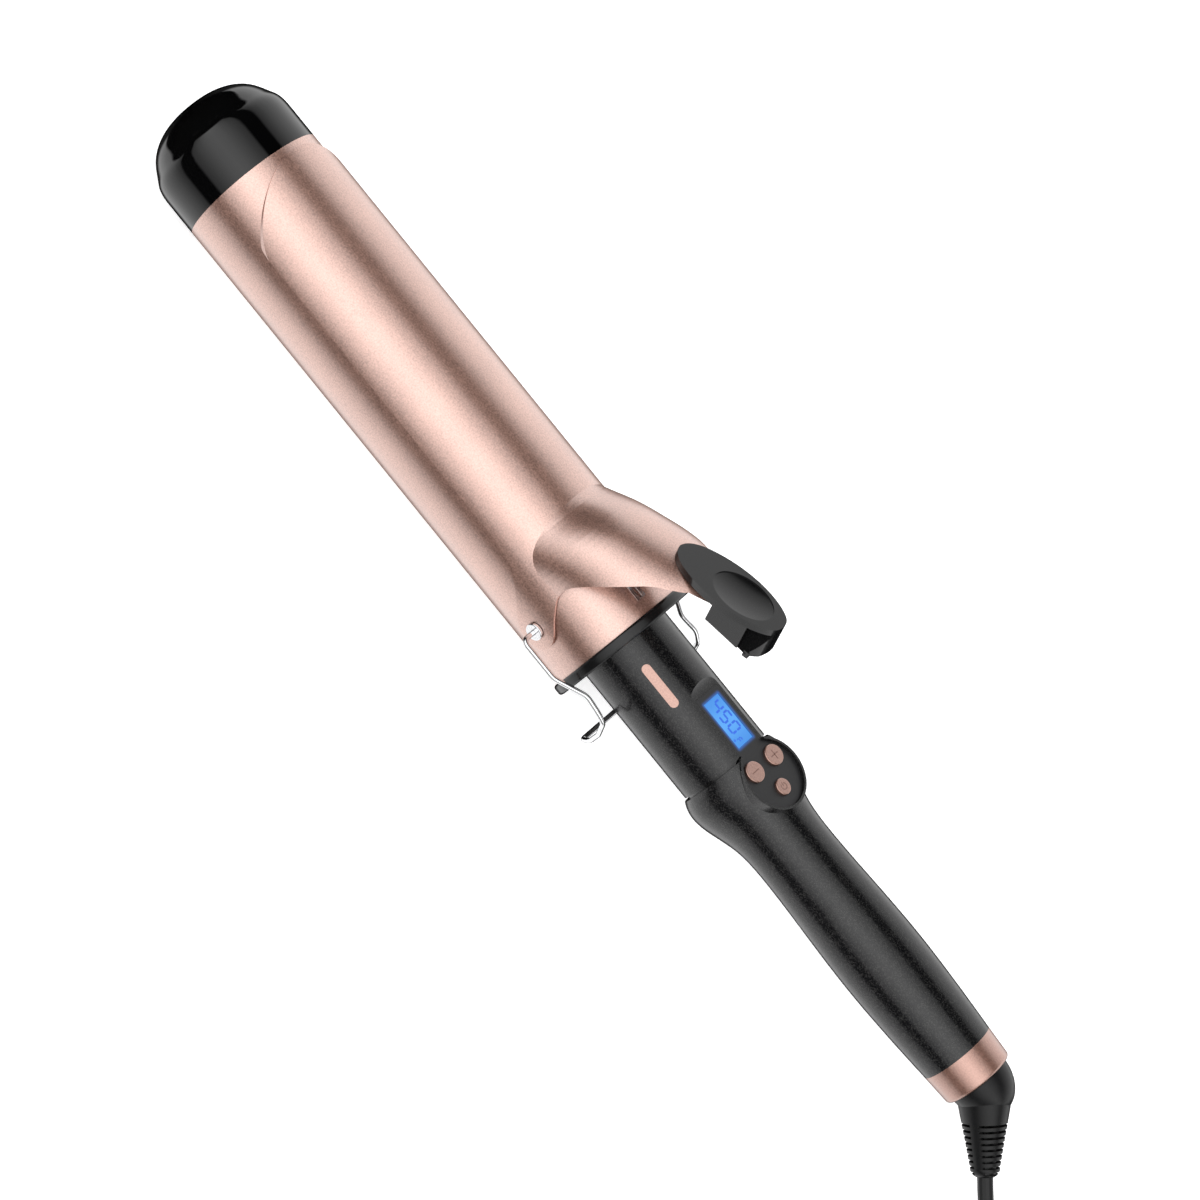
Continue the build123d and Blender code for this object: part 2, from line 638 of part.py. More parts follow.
def tie_band():
    """Space of the tie: a band across the coil on the side away from the handle."""
    inner, outer = COIL_X + COIL_IN_R - 5, COIL_X + COIL_OUT_R + 5
    return block(inner, outer, COIL_Y - TIE_HALF, COIL_Y + TIE_HALF, FLOOR_Z - 5, 0)


def cord_coil():
    return coil_ring(0) - (tie_band() - coil_ring(TIE_T))


def cord_tie():
    return (coil_ring(0) - coil_ring(TIE_T)) & tie_band()


PLUG = TAIL[-1]


def plug_body():
    """Flat two-blade plug with a tapered relief, lying on its wide side, blades along +y."""
    start = Plane((PLUG.X, PLUG.Y, PLUG.Z), x_dir=(1, 0, 0), z_dir=(0, 1, 0))
    sizes = [(0, 6.6, 6.6), (14, 9.4, 8.6), (20, 17.5, 11.6), (27, 21.5, 12.6), (40, 20.5, 12.6)]
    faces = [start.offset(at) * RectangleRounded(w, h, 0.4 * h) for at, w, h in sizes]
    return loft(faces)


def plug_blades():
    y0 = PLUG.Y + 40
    middles = [PLUG.X + offset for offset in (-6.35, 6.35)]
    blades = [block(x - 0.75, x + 0.75, y0, y0 + 16, PLUG.Z - 3.2, PLUG.Z + 3.2) for x in middles]
    return [fillet(b.edges().filter_by(Axis.X).sort_by(Axis.Y)[-2:], 2.0) for b in blades]


def side_inlay():
    """Plain capsule-shaped trim let into the sleeve, curved with it."""
    band = tube(SLEEVE_R + 0.12, SLEEVE_R - 0.4, 228, 258)
    across = Plane((0, 0, 0), x_dir=(1, 0, 0), z_dir=(0, -0.67, 0.742))
    return band & extrude(across * Pos(241, 0) * SlotOverall(17, 3.2), 30)


NODES = {
    "cool_tip": cool_tip, "tip_insulator": tip_insulator, "barrel_tube": barrel_tube,
    "heater_shoe_upper": lambda: heater_shoe(1), "heater_shoe_lower": lambda: heater_shoe(-1),
    "ceramic_heater": ceramic_heater, "temperature_sensor": temperature_sensor, "thermal_fuse": thermal_fuse,
    "base_insulator": base_insulator, "collar": collar, "pivot_studs": pivot_studs,
    "clamp_plate": clamp_plate, "thumb_press": thumb_press, "thumb_base": thumb_base, "thumb_screw": thumb_screw,
    "clamp_spring": clamp_spring, "spring_rivets": spring_rivets, "stand_wire": stand_wire,
    "front_sleeve": front_sleeve, "grip": grip, "handle_core": handle_core,
    "control_panel": control_panel, "control_board": control_board, "tact_switches": tact_switches,
    "board_screws": board_screws, "lcd_module": lcd_module, "lcd_lens": lcd_lens,
    "heater_leads": heater_leads, "mains_leads": mains_leads, "end_ring": end_ring,
    "swivel_hub": swivel_hub, "slip_rings": slip_rings, "brush_contacts": brush_contacts,
    "strain_relief": strain_relief, "cord_coil": cord_coil, "cord_tie": cord_tie,
    "plug_body": plug_body, "plug_blades": plug_blades, "side_inlay": side_inlay,
    "cord_lead": lambda: cord_tube(LEAD, "cord_lead"), "cord_tail": lambda: cord_tube(TAIL, "cord_tail"),
}


def main():
    os.makedirs("parts", exist_ok=True)
    for name, make in NODES.items():
        shape = make()
        if isinstance(shape, (list, tuple)):
            shape = Compound(children=list(shape))
        save(name, shape)
    for name, (x, y, radius) in BUTTONS.items():
        save(name, button(x, y, radius))


main()
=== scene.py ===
import math

import bpy
from mathutils import Matrix, Vector


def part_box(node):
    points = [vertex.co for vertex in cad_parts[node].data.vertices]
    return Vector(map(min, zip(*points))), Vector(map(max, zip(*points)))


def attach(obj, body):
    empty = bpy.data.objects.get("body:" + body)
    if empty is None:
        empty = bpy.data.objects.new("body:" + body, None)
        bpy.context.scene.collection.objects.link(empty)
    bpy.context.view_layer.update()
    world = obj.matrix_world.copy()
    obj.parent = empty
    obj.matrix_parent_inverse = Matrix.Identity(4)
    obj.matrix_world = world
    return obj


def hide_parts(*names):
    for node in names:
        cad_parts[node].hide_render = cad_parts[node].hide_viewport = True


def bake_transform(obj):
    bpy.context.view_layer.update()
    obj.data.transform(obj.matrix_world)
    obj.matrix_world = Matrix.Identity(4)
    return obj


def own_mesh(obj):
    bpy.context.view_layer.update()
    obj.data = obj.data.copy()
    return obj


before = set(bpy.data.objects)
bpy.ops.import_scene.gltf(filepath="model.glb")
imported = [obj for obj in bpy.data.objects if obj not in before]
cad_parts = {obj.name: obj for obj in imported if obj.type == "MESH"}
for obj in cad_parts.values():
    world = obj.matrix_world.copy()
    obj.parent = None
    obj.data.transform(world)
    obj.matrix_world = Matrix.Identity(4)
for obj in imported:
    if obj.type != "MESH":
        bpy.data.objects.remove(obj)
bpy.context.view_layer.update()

# Curling iron.  Stations along the iron are written as in the CAD: millimetres from the nose tip
# along the barrel, y across it and z up from the barrel's axis.
MM = 0.001
NOSE_X = -202.85
AXIS_Z = 27.1
ELEVATION = math.radians(47.5)      # the camera looks down on the barrel, square to it


def at(s, y, z):
    """A point of the modelling frame, in the part's own frame."""
    return Vector(((s + NOSE_X) * MM, y * MM, (z + AXIS_Z) * MM))


# ---- node graph helpers ----
class Graph:
    """Shorthand for one node tree: inputs are wired by name, or by number as i0, i1 and so on."""

    def __init__(self, tree):
        self.tree = tree

    def add(self, kind, props=None, **inputs):
        node = self.tree.nodes.new(kind)
        for key, value in (props or {}).items():
            setattr(node, key, value)
        for key, value in inputs.items():
            place = int(key[1:]) if key[1:].isdigit() else key.replace("_", " ")
            self.feed(node.inputs[place], value)
        return node

    def feed(self, socket, value):
        if isinstance(value, bpy.types.NodeSocket):
            self.tree.links.new(value, socket)
        else:
            socket.default_value = value

    def math(self, operation, a, b=0.0):
        return self.add("ShaderNodeMath", {"operation": operation}, i0=a, i1=b).outputs[0]

    def dot(self, vector, constant):
        node = self.add("ShaderNodeVectorMath", {"operation": "DOT_PRODUCT"}, i0=vector, i1=constant)
        return node.outputs["Value"]

    def ramp(self, value, stops):
        """Colours or grey levels at positions from 0 to 1, joined by straight lines."""
        node = self.add("ShaderNodeValToRGB", Fac=value)
        elements = node.color_ramp.elements
        while len(elements) > 1:
            elements.remove(elements[0])
        for index, (position, level) in enumerate(stops):
            element = elements[0] if index == 0 else elements.new(position)
            element.position = position
            colour = level if hasattr(level, "__len__") else (level, level, level)
            element.color = (*colour, 1.0)
        return node.outputs["Color"]

    def span(self, value, low, high, to_low=0.0, to_high=1.0):
        """Smooth step from one level to another as the value goes from low to high."""
        node = self.add("ShaderNodeMapRange", {"interpolation_type": "SMOOTHSTEP"}, i0=value)
        for index, number in enumerate((low, high, to_low, to_high)):
            node.inputs[index + 1].default_value = number
        return node.outputs[0]

    def noise(self, vector, scale, detail=2.0):
        node = self.add("ShaderNodeTexNoise", Vector=vector, Scale=scale, Detail=detail, Roughness=0.5)
        return node.outputs["Fac"]

    def mix(self, factor, a, b):
        return self.add("ShaderNodeMix", {"data_type": "RGBA"}, i0=factor, i6=a, i7=b).outputs[2]


def rgb(red, green, blue):
    return (red, green, blue, 1.0)


# ---- camera ----
CAMERA_ROLL = math.radians(50.97)
CAMERA_DISTANCE = 1067.6
CAMERA_LENS = 98.61
SENSOR_WIDTH = 36
AIM_ALONG = 4.65        # the point it looks at, from the middle of the iron towards the cord
AIM_ABOVE = 2.5         # and upwards across the view, before the roll


def make_camera():
    """Square to the barrel, rolled so that the iron runs down the frame."""
    forward = Vector((0, math.cos(ELEVATION), -math.sin(ELEVATION)))
    up = Vector((0, math.sin(ELEVATION), math.cos(ELEVATION)))
    right = Vector((1, 0, 0))
    target = Vector((AIM_ALONG, 0, AXIS_Z)) * MM + up * AIM_ABOVE * MM
    side = right * math.cos(CAMERA_ROLL) + up * math.sin(CAMERA_ROLL)
    top = up * math.cos(CAMERA_ROLL) - right * math.sin(CAMERA_ROLL)
    turn = Matrix((side, top, -forward)).transposed().to_4x4()
    data = bpy.data.cameras.new("camera")
    data.sensor_width = SENSOR_WIDTH
    data.lens = CAMERA_LENS
    data.clip_start = 0.05
    camera = bpy.data.objects.new("camera", data)
    camera.matrix_world = Matrix.Translation(target - forward * (CAMERA_DISTANCE * MM)) @ turn
    bpy.context.collection.objects.link(camera)
    bpy.context.scene.camera = camera


# ---- studio ----
SKY_PEAK = 2.4
# Brightness of the studio by the angle about the barrel, in degrees from the front: a long soft
# box in front, dark gaps beside it, and pale walls behind them.
STUDIO_RING = (
    (0, 2.4), (12, 2.15), (24, 1.58), (36, 1.0), (43, 0.75), (47, 0.0), (70, 0.0),
    (74, 0.6), (82, 0.9), (92, 1.25), (104, 1.45), (130, 1.5), (146, 1.3), (156, 0.05), (180, 0.0),
)
BOX_END = 0.90          # how far the lights reach towards the nose, as the sine of the angle
WALL_END = 0.74
WALL_FRONT = 0.1        # the walls' reach turns into the box's as a direction points further forward,
BOX_FRONT = 0.35        # between these two cosines
END_SOFTNESS = 0.02
BACKDROP = 0.97


def make_world():
    """Lights as a ring about the barrel; the camera sees a plain pale backdrop behind the iron."""
    world = bpy.data.worlds.new("studio")
    bpy.context.scene.world = world
    world.use_nodes = True
    world.node_tree.nodes.clear()
    graph = Graph(world.node_tree)
    direction = graph.add("ShaderNodeTexCoord").outputs["Generated"]
    front = graph.dot(direction, (0, -math.cos(ELEVATION), math.sin(ELEVATION)))
    above = graph.dot(direction, (0, math.sin(ELEVATION), math.cos(ELEVATION)))
    along = graph.dot(direction, (1, 0, 0))
    angle = graph.math("DIVIDE", graph.math("ABSOLUTE", graph.math("ARCTAN2", above, front)), math.pi)
    ring = graph.ramp(angle, [(degrees / 180, level / SKY_PEAK) for degrees, level in STUDIO_RING])
    edge = graph.math("ADD", along, graph.span(front, WALL_FRONT, BOX_FRONT, WALL_END, BOX_END))
    window = graph.span(edge, -END_SOFTNESS, END_SOFTNESS)
    level = graph.math("MULTIPLY", graph.math("MULTIPLY", ring, window), SKY_PEAK)
    lit = graph.add("ShaderNodeBackground", Strength=level, Color=rgb(1, 1, 1))
    plain = graph.add("ShaderNodeBackground", Strength=1.0, Color=rgb(BACKDROP, BACKDROP, BACKDROP))
    seen = graph.add("ShaderNodeLightPath").outputs["Is Camera Ray"]
    mixed = graph.add("ShaderNodeMixShader", i0=seen, i1=lit.outputs[0], i2=plain.outputs[0])
    graph.add("ShaderNodeOutputWorld", Surface=mixed.outputs[0])
    bpy.context.scene.view_settings.view_transform = "Standard"


FLOOR_HALF = 6.0
FLOOR_DROP = 0.0002     # just under the surface that the iron rests on
FLOOR_GLOW = 0.6


def make_floor():
    """Pale matt ground that the iron doesn't mirror."""
    mesh = bpy.data.meshes.new("floor")
    signs = ((-1, -1), (1, -1), (1, 1), (-1, 1))
    corners = [(x * FLOOR_HALF, y * FLOOR_HALF, -FLOOR_DROP) for x, y in signs]
    mesh.from_pydata(corners, [], [(0, 1, 2, 3)])
    floor = bpy.data.objects.new("floor", mesh)
    bpy.context.collection.objects.link(floor)
    material = bpy.data.materials.new("floor_pale")
    material.use_nodes = True
    graph = Graph(material.node_tree)
    shader = material.node_tree.nodes["Principled BSDF"]
    place = graph.add("ShaderNodeTexCoord").outputs["Object"]
    tone = graph.ramp(graph.noise(place, 30.0), ((0.3, 0.93), (0.7, 0.95)))
    graph.feed(shader.inputs["Base Color"], tone)
    graph.feed(shader.inputs["Emission Color"], tone)
    shader.inputs["Emission Strength"].default_value = FLOOR_GLOW
    shader.inputs["Roughness"].default_value = 1.0
    shader.inputs["Specular IOR Level"].default_value = 0.0
    mesh.materials.append(material)
    floor.visible_glossy = False


# ---- materials ----
def start_material(name, **values):
    """Principled material with its constant values, its graph and the object's coordinates."""
    material = bpy.data.materials.new(name)
    material.use_nodes = True
    shader = material.node_tree.nodes["Principled BSDF"]
    for key, value in values.items():
        shader.inputs[key.replace("_", " ")].default_value = value
    graph = Graph(material.node_tree)
    place = graph.add("ShaderNodeTexCoord").outputs["Object"]
    return material, graph, shader, place


def bump(graph, shader, height, strength, distance=0.0001):
    node = graph.add("ShaderNodeBump", Strength=strength, Distance=distance, Height=height)
    graph.feed(shader.inputs["Normal"], node.outputs["Normal"])


def metallic_paint(name, low, high, roughness, coat_ior):
    """Metal flake paint: fine grains differ in tone, roughness and tilt under a thin clear coat."""
    material, graph, shader, place = start_material(
        name, Metallic=1.0, Coat_Weight=1.0, Coat_Roughness=0.26, Coat_IOR=coat_ior
    )
    fine = graph.noise(place, 1900.0, 1.0)
    broad = graph.noise(place, 60.0, 2.0)
    shade = graph.math("ADD", graph.math("MULTIPLY", fine, 0.85), graph.math("MULTIPLY", broad, 0.15))
    gloss = graph.span(fine, 0.3, 0.7, roughness - 0.04, roughness + 0.05)
    graph.feed(shader.inputs["Base Color"], graph.ramp(shade, ((0.3, low), (0.7, high))))
    graph.feed(shader.inputs["Roughness"], gloss)
    bump(graph, shader, fine, 0.3, 0.00005)
    return material


def moulded_plastic(name, tone, roughness, grain, depth, spread, specular):
    """Moulded plastic or rubber: faint mottling in tone and gloss, and a fine surface texture."""
    material, graph, shader, place = start_material(name, Specular_IOR_Level=specular, IOR=1.5)
    fine = graph.noise(place, grain, 3.0)
    broad = graph.noise(place, 45.0, 2.0)
    dark = tuple(channel * 0.8 for channel in tone)
    pale = tuple(channel * 1.2 for channel in tone)
    gloss = graph.span(fine, 0.25, 0.75, roughness - spread / 2, roughness + spread / 2)
    graph.feed(shader.inputs["Base Color"], graph.ramp(broad, ((0.3, dark), (0.7, pale))))
    graph.feed(shader.inputs["Roughness"], gloss)
    bump(graph, shader, fine, depth)
    return material


def glitter_plastic(name, tone, flake_tone, roughness):
    """Black plastic with sparse metal flakes under its surface."""
    material, graph, shader, place = start_material(name, IOR=1.47)
    flake = graph.add("ShaderNodeTexVoronoi", Vector=place, Scale=3000.0)
    pick = graph.add("ShaderNodeSeparateColor", Color=flake.outputs["Color"])
    bright = graph.span(pick.outputs["Red"], 0.5, 1.0)
    gloss = graph.span(pick.outputs["Green"], 0.0, 1.0, roughness - 0.05, roughness + 0.05)
    graph.feed(shader.inputs["Base Color"], graph.mix(bright, rgb(*tone), rgb(*flake_tone)))
    graph.feed(shader.inputs["Roughness"], gloss)
    bump(graph, shader, pick.outputs["Blue"], 0.3, 0.00002)
    return material


def drawn_metal(name, low, high, roughness, squeeze):
    """Bare metal with fine drawing lines along the axis that the pattern is squeezed on."""
    material, graph, shader, place = start_material(name, Metallic=1.0)
    stretched = graph.add("ShaderNodeMapping", Vector=place, Scale=squeeze).outputs["Vector"]
    lines = graph.noise(stretched, 2500.0, 2.0)
    gloss = graph.span(lines, 0.3, 0.7, roughness - 0.03, roughness + 0.06)
    graph.feed(shader.inputs["Base Color"], graph.ramp(lines, ((0.3, low), (0.7, high))))
    graph.feed(shader.inputs["Roughness"], gloss)
    return material


HANDLE_TONE = (0.004, 0.004, 0.0045)
FLAKE_TONE = (0.022, 0.0215, 0.021)
# Flake paints: dark and pale tone of the flakes, roughness, refractive index of the clear coat.
PAINTS = {
    "rose_gold_paint": ((0.385, 0.20, 0.15), (0.66, 0.375, 0.29), 0.43, 2.45),
    "rose_gold_trim": ((0.33, 0.17, 0.125), (0.46, 0.245, 0.185), 0.44, 1.9),
}
# Plastics and rubbers: tone, roughness, grain, texture depth, spread of the roughness, specular level.
MOULDED = {
    "cap_black": ((0.0015, 0.0015, 0.0016), 0.05, 1500.0, 0.004, 0.02, 0.4),
    "collar_black": ((0.005, 0.005, 0.0052), 0.2, 900.0, 0.02, 0.04, 0.35),
    "thumb_black": ((0.004, 0.004, 0.0042), 0.16, 1200.0, 0.01, 0.04, 0.5),
    "rubber_black": ((0.005, 0.005, 0.0053), 0.34, 1400.0, 0.05, 0.08, 0.24),
    "cord_black": ((0.006, 0.006, 0.0063), 0.38, 1600.0, 0.05, 0.08, 0.3),
    "ceramic_white": ((0.72, 0.70, 0.66), 0.5, 700.0, 0.08, 0.1, 0.5),
    "mica": ((0.42, 0.32, 0.20), 0.3, 500.0, 0.1, 0.1, 0.5),
    "glass_bead": ((0.45, 0.22, 0.10), 0.12, 500.0, 0.02, 0.04, 0.5),
    "board_green": ((0.02, 0.12, 0.05), 0.35, 900.0, 0.05, 0.04, 0.5),
    "lcd_blue": ((0.20, 0.45, 0.80), 0.3, 900.0, 0.02, 0.04, 0.5),
    "mark_brown": ((0.16, 0.075, 0.055), 0.4, 1500.0, 0.02, 0.04, 0.5),
    "wire_white": ((0.70, 0.69, 0.66), 0.4, 900.0, 0.02, 0.04, 0.5),
    "switch_grey": ((0.25, 0.25, 0.26), 0.4, 900.0, 0.02, 0.04, 0.5),
}
# Bare metals: dark and pale tone of the drawing lines, roughness, squeeze of the pattern.
DRAWN = {
    "chrome_steel": ((0.62, 0.62, 0.63), (0.80, 0.80, 0.81), 0.08, (1.0, 0.08, 1.0)),
    "spring_steel": ((0.58, 0.58, 0.59), (0.76, 0.76, 0.77), 0.12, (0.08, 1.0, 1.0)),
    "aluminium_shoe": ((0.60, 0.61, 0.62), (0.74, 0.75, 0.76), 0.3, (0.05, 1.0, 1.0)),
    "brass_contact": ((0.62, 0.42, 0.16), (0.78, 0.56, 0.24), 0.25, (1.0, 0.08, 1.0)),
}


def make_materials():
    """Every finish, by its name."""
    materials = {
        "handle_black": glitter_plastic("handle_black", HANDLE_TONE, FLAKE_TONE, 0.17),
        # the control panel's finish carries a painted blue glow round the display
        "panel_black": panel_with_painted_glow("panel_black", (0.010, 0.010, 0.011)),
        "lcd_window": lit_window("lcd_window"),
        "readout_blue": lit_mark("readout_blue", (0.01, 0.075, 0.42)),
    }
    for make, table in ((metallic_paint, PAINTS), (moulded_plastic, MOULDED), (drawn_metal, DRAWN)):
        for name, values in table.items():
            materials[name] = make(name, *values)
    return materials


WINDOW_GLOW = 0.85
MARK_GLOW = 0.6
# Painted light: the control panel gives off a blue glow of its own round the display's window.
PAINTED_GLOW_STRENGTH = 0.9
PAINTED_GLOW_REACH = 0.0017     # how far the painted blue glow round the display spreads over the panel, in metres


def lit_window(name):
    """Backlit display: pale blue, a little brighter in its middle, under a gloss face."""
    low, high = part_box("lcd_lens")
    material, graph, shader, place = start_material(name, Roughness=0.12, Specular_IOR_Level=0.4)
    parts = graph.add("ShaderNodeSeparateXYZ", Vector=place)
    middle = (low[0] + high[0]) / 2
    away = graph.math("ABSOLUTE", graph.math("SUBTRACT", parts.outputs["X"], middle))
    glow = graph.span(away, 0.0, (high[0] - low[0]) / 2, 1.0, 0.0)
    blue = graph.ramp(glow, ((0.0, (0.05, 0.30, 0.85)), (1.0, (0.10, 0.42, 1.0))))
    face = graph.mix(graph.noise(place, 900.0), rgb(0.01, 0.03, 0.08), rgb(0.02, 0.05, 0.1))
    graph.feed(shader.inputs["Base Color"], face)
    graph.feed(shader.inputs["Emission Color"], blue)
    shader.inputs["Emission Strength"].default_value = WINDOW_GLOW
    return material


def lit_mark(name, tone):
    """Darker figure on the lit display."""
    material, graph, shader, place = start_material(name, Roughness=0.3)
    shade = graph.mix(graph.noise(place, 1200.0), rgb(*tone), rgb(*(channel * 1.3 for channel in tone)))
    graph.feed(shader.inputs["Base Color"], shade)
    graph.feed(shader.inputs["Emission Color"], shade)
    shader.inputs["Emission Strength"].default_value = MARK_GLOW
    return material


def panel_with_painted_glow(name, tone):
    """Matt black panel with painted light: a blue glow painted round the display's window, fading with
    distance from it.
    """
    low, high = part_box("lcd_lens")
    material, graph, shader, place = start_material(name, Roughness=0.45, IOR=1.5)
    fine = graph.noise(place, 2200.0, 2.0)
    dark = tuple(channel * 0.8 for channel in tone)
    graph.feed(shader.inputs["Base Color"], graph.ramp(fine, ((0.3, dark), (0.7, tone))))
    bump(graph, shader, fine, 0.06)
    parts = graph.add("ShaderNodeSeparateXYZ", Vector=place)
    outside = []
    for index, axis in enumerate("XY"):
        middle, half = (low[index] + high[index]) / 2, (high[index] - low[index]) / 2
        away = graph.math("ABSOLUTE", graph.math("SUBTRACT", parts.outputs[axis], middle))
        outside.append(graph.math("MAXIMUM", graph.math("SUBTRACT", away, half), 0.0))
    squares = [graph.math("MULTIPLY", value, value) for value in outside]
    distance = graph.math("SQRT", graph.math("ADD", *squares))
    # painted glow: the panel's emission turns blue near the display's window and fades away from it
    painted_glow = graph.math("POWER", graph.span(distance, 0.0, PAINTED_GLOW_REACH, 1.0, 0.0), 2.0)
    graph.feed(shader.inputs["Emission Color"], graph.mix(painted_glow, rgb(0, 0, 0), rgb(0.02, 0.12, 0.45)))
    shader.inputs["Emission Strength"].default_value = PAINTED_GLOW_STRENGTH
    return material


NODE_SLOTS = {
    "rose_gold_paint": ("barrel_tube", "clamp_plate"),
    "rose_gold_trim": ("end_ring", "plus_button", "minus_button", "power_button", "side_inlay"),
    "cap_black": ("cool_tip",),
    "collar_black": ("collar",),
    "handle_black": ("front_sleeve", "grip"),
    "thumb_black": ("thumb_press", "thumb_base"),
    # the control panel's finish, with its painted blue glow round the display
    "panel_black": ("control_panel",),
    "chrome_steel": (
        "stand_wire", "pivot_studs", "thumb_screw", "spring_rivets", "plug_blades", "board_screws",
    ),
    "spring_steel": ("clamp_spring",),
    "rubber_black": ("strain_relief", "plug_body", "cord_tie", "swivel_hub", "handle_core"),
    "cord_black": ("cord_lead", "cord_coil", "cord_tail"),
    "aluminium_shoe": ("heater_shoe_upper", "heater_shoe_lower"),
    "ceramic_white": ("ceramic_heater", "base_insulator"),
    "mica": ("tip_insulator",),
    "glass_bead": ("temperature_sensor", "thermal_fuse"),
    "board_green": ("control_board",),
    "brass_contact": ("slip_rings", "brush_contacts"),
    "lcd_blue": ("lcd_module",),
    "lcd_window": ("lcd_lens",),
    "wire_white": ("heater_leads", "mains_leads"),
    "switch_grey": ("tact_switches",),
}


def dress_nodes(materials):
    """The finish of every CAD node, and smooth shading up to its real edges."""
    for slot, nodes in NODE_SLOTS.items():
        for node in nodes:
            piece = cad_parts[node]
            soften(piece.data)
            if not piece.material_slots:
                piece.data.materials.append(materials[slot])
            for place in piece.material_slots:
                place.material = materials[slot]


# ---- pieces ----
SMOOTH_ANGLE = math.radians(24)
BAR_STEPS = 6
ARC_STEPS = 20


def soften(mesh):
    """Smooth shading, broken only where the surface really turns."""
    stored = mesh.attributes.get("custom_normal")
    if stored:
        mesh.attributes.remove(stored)
    mesh.polygons.foreach_set("use_smooth", [True] * len(mesh.polygons))
    mesh.set_sharp_from_angle(angle=SMOOTH_ANGLE)


def add_mesh(name, mesh, slot, materials, finish=None):
    """A new piece from a mesh, in its finish."""
    piece = bpy.data.objects.new(name, mesh)
    bpy.context.collection.objects.link(piece)
    mesh.materials.clear()
    mesh.materials.append(materials[finish or slot])
    soften(mesh)
    return piece


def merge(parts):
    """One mesh from (vertices, faces) lists."""
    vertices, faces = [], []
    for points, sides in parts:
        faces += [tuple(index + len(vertices) for index in side) for side in sides]
        vertices += points
    mesh = bpy.data.meshes.new("merged")
    mesh.from_pydata(vertices, [], faces)
    return mesh


def bar(start, end, width, top, thickness):
    """Low bar with round ends between two (s, y) points, its top at a given height."""
    start, end = Vector(start), Vector(end)
    along = (end - start).normalized()
    across = Vector((-along.y, along.x)) * width / 2
    turns = [math.pi / 2 + math.pi * step / BAR_STEPS for step in range(BAR_STEPS + 1)]
    rim = [start + along * math.cos(a) * width / 2 + across * math.sin(a) for a in turns]
    rim += [end - along * math.cos(a) * width / 2 - across * math.sin(a) for a in turns]
    count = len(rim)
    points = [at(p.x, p.y, z) for z in (top, top - thickness) for p in rim]
    sides = [(i, i + count, (i + 1) % count + count, (i + 1) % count) for i in range(count)]
    return points, [tuple(range(count)), tuple(reversed(range(count, 2 * count))), *sides]


def arc(centre, radius, first, last, width, top, thickness):
    """Low curved bar between two angles, in degrees."""
    points = []
    for step in range(ARC_STEPS + 1):
        angle = math.radians(first + (last - first) * step / ARC_STEPS)
        for size in (radius - width / 2, radius + width / 2):
            x, y = centre[0] + size * math.cos(angle), centre[1] + size * math.sin(angle)
            points += [at(x, y, top), at(x, y, top - thickness)]
    sides = []
    for a in range(0, 4 * ARC_STEPS, 4):
        b = a + 4
        sides += [(a, a + 2, b + 2, b), (a + 1, b + 1, b + 3, a + 3)]
        sides += [(a, b, b + 1, a + 1), (a + 2, a + 3, b + 3, b + 2)]
    end = 4 * ARC_STEPS
    sides += [(0, 1, 3, 2), (end, end + 2, end + 3, end + 1)]
    return points, sides


# ---- display ----
SEGMENTS = {
    "top": ((0, 1), (1, 1)), "middle": ((0, 0.5), (1, 0.5)), "bottom": ((0, 0), (1, 0)),
    "left_up": ((0, 0.5), (0, 1)), "left_down": ((0, 0), (0, 0.5)),
    "right_up": ((1, 0.5), (1, 1)), "right_down": ((1, 0), (1, 0.5)),
}
FIGURES = {
    "4": ("left_up", "middle", "right_up", "right_down"),
    "5": ("top", "left_up", "middle", "right_down", "bottom"),
    "0": ("top", "left_up", "left_down", "bottom", "right_down", "right_up"),
    "F": ("top", "left_up", "middle", "left_down"),
}
# Each figure with the corner it starts at, (s, y), its width and its height.
READOUT = (
    ("4", 256.4, -1.9, 2.8, 4.7), ("5", 260.7, -1.9, 2.8, 4.7), ("0", 265.0, -1.9, 2.8, 4.7),
    ("F", 270.1, -2.2, 1.3, 2.1),
)
DEGREE = (269.8, -3.1)
DEGREE_R = 0.3
READOUT_LIFT = 0.03     # the figures stand this far above the lens
READOUT_DEEP = 0.04
SEGMENT_GAP = 0.75      # share of a bar's width left free at each of its ends


def figure(name, s, y, width, height, line, top):
    """One figure of the readout from straight bars with small gaps between them."""
    parts = []
    for segment in FIGURES[name]:
        (x0, y0), (x1, y1) = SEGMENTS[segment]
        first = Vector((s + x0 * width, y + y0 * height))
        last = Vector((s + x1 * width, y + y1 * height))
        trim = (last - first).normalized() * line * SEGMENT_GAP
        parts.append(bar(first + trim, last - trim, line, top, READOUT_DEEP))
    return parts


def make_readout(materials):
    """The set temperature on the display, three large figures and a small unit."""
    top = (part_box("lcd_lens")[1][2] / MM - AXIS_Z) + READOUT_LIFT
    parts = []
    for name, s, y, width, height in READOUT:
        parts += figure(name, s, y, width, height, 0.2 * width + 0.2, top)
    parts.append(arc(DEGREE, DEGREE_R, 0, 360, 0.3, top, READOUT_DEEP))
    readout = add_mesh("readout", merge(parts), "lcd_window", materials, "readout_blue")
    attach(readout, "iron")


# ---- marks on the buttons ----
MARK_LINE, MARK_DEEP, MARK_LIFT = 0.34, 0.06, 0.02
POWER_R = 1.15
POWER_OPEN, POWER_CLOSE = 215, 505      # the ring of the power sign, open towards the nose, in degrees
# Straight strokes of each sign, from its button's centre.
MARK_STROKES = {
    "plus": (((-1.7, 0), (1.7, 0)), ((0, -1.7), (0, 1.7))),
    "minus": (((0, -1.7), (0, 1.7)),),
    "power": (((-0.25, 0), (-1.35, 0)),),
}


